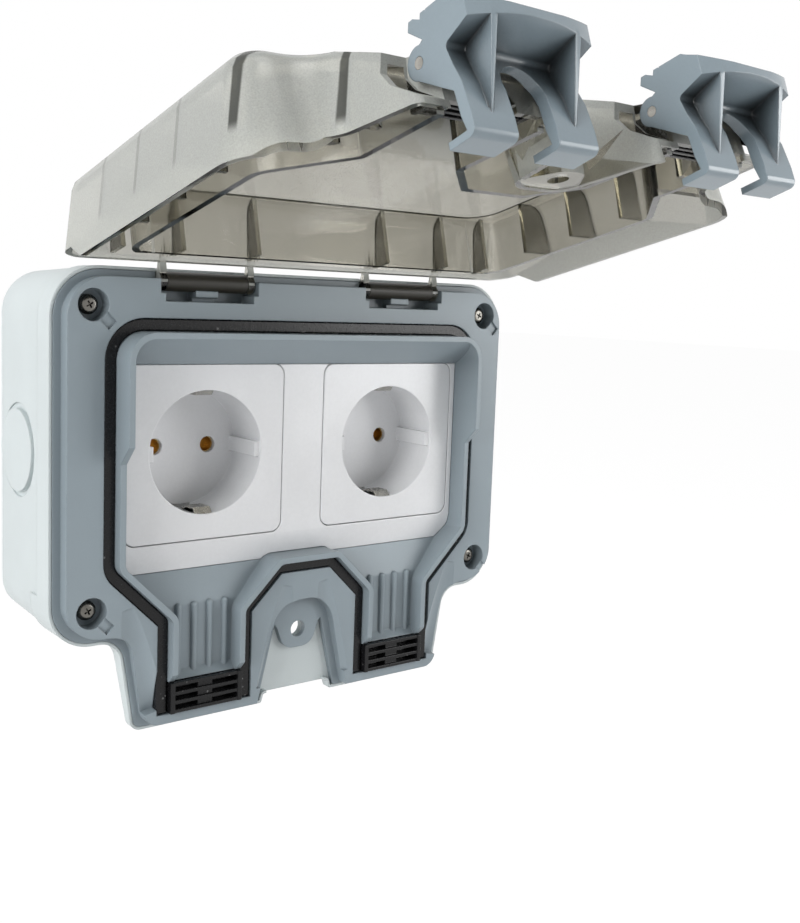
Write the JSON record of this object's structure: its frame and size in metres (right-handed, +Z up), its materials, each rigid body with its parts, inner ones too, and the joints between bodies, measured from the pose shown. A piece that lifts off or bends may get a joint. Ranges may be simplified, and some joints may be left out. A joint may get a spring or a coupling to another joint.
{
  "type": "outdoor socket outlet",
  "caption": "Surface-mounted weatherproof socket box with side-by-side earthed outlets under a hinged smoked cover with snap latches and a padlock lug.",
  "frame": {"origin": "centre of the back face of the box, on the wall", "axes": "+X to the right seen from in front, +Y into the wall, +Z up"},
  "size_m": [0.1718, 0.1846, 0.1967],
  "materials": {
    "light_plastic": "light grey, fine matt",
    "seal_rubber": "black",
    "bright_steel": "bright zinc-coated",
    "contact_brass": "plain",
    "smoked_clear": "smoked translucent plastic, fine grain outside",
    "grey_plastic": "blue-grey, semi-matt",
    "dark_plastic": "dark grey",
    "latch_plastic": "blue-grey, glossy",
    "white_plastic": "glossy white"
  },
  "bodies": {
    "housing": {"back_box": "light_plastic", "body_gasket": "seal_rubber", "bridge_screw_left_1": "bright_steel", "bridge_screw_left_2": "bright_steel", "bridge_screw_right_1": "bright_steel", "bridge_screw_right_2": "bright_steel", "cable_seal_left": "seal_rubber", "cable_seal_right": "seal_rubber", "contact_tube_left_1": "contact_brass", "contact_tube_left_2": "contact_brass", "contact_tube_right_1": "contact_brass", "contact_tube_right_2": "contact_brass", "cover_gasket_arch": "seal_rubber", "cover_gasket_rim": "seal_rubber", "earth_clip_left": "bright_steel", "earth_clip_right": "bright_steel", "frame_screw_bottom_left": "bright_steel", "frame_screw_bottom_right": "bright_steel", "frame_screw_top_left": "bright_steel", "frame_screw_top_right": "bright_steel", "front_frame": "grey_plastic", "mounting_bridge_left": "bright_steel", "mounting_bridge_right": "bright_steel", "socket_base_left": "dark_plastic", "socket_base_right": "dark_plastic", "socket_plate_left": "white_plastic", "socket_plate_right": "white_plastic", "socket_surround": "white_plastic"},
    "cover": {"cover_shell": "smoked_clear", "hinge_rod_left": "dark_plastic", "hinge_rod_right": "dark_plastic", "latch_pin_left": "bright_steel", "latch_pin_right": "bright_steel", "cover_seal_left": "seal_rubber", "cover_seal_right": "seal_rubber"},
    "latch_left": {"latch_left": "latch_plastic"},
    "latch_right": {"latch_right": "latch_plastic"}
  },
  "joints": [
    {"name": "cover_hinge", "type": "hinge", "parent": "housing", "child": "cover", "pos_m": [0, -0.044, 0.0525], "axis": [1, 0, 0], "range_deg": [0, 103.8]},
    {"name": "latch_left_pivot", "type": "hinge", "parent": "cover", "child": "latch_left", "pos_m": [-0.03705, -0.16718, 0.0981], "axis": [1, 0, 0], "range_deg": [-34, 6]},
    {"name": "latch_right_pivot", "type": "hinge", "parent": "cover", "child": "latch_right", "pos_m": [0.03705, -0.16718, 0.0981], "axis": [1, 0, 0], "range_deg": [-34, 6]}
  ]
}
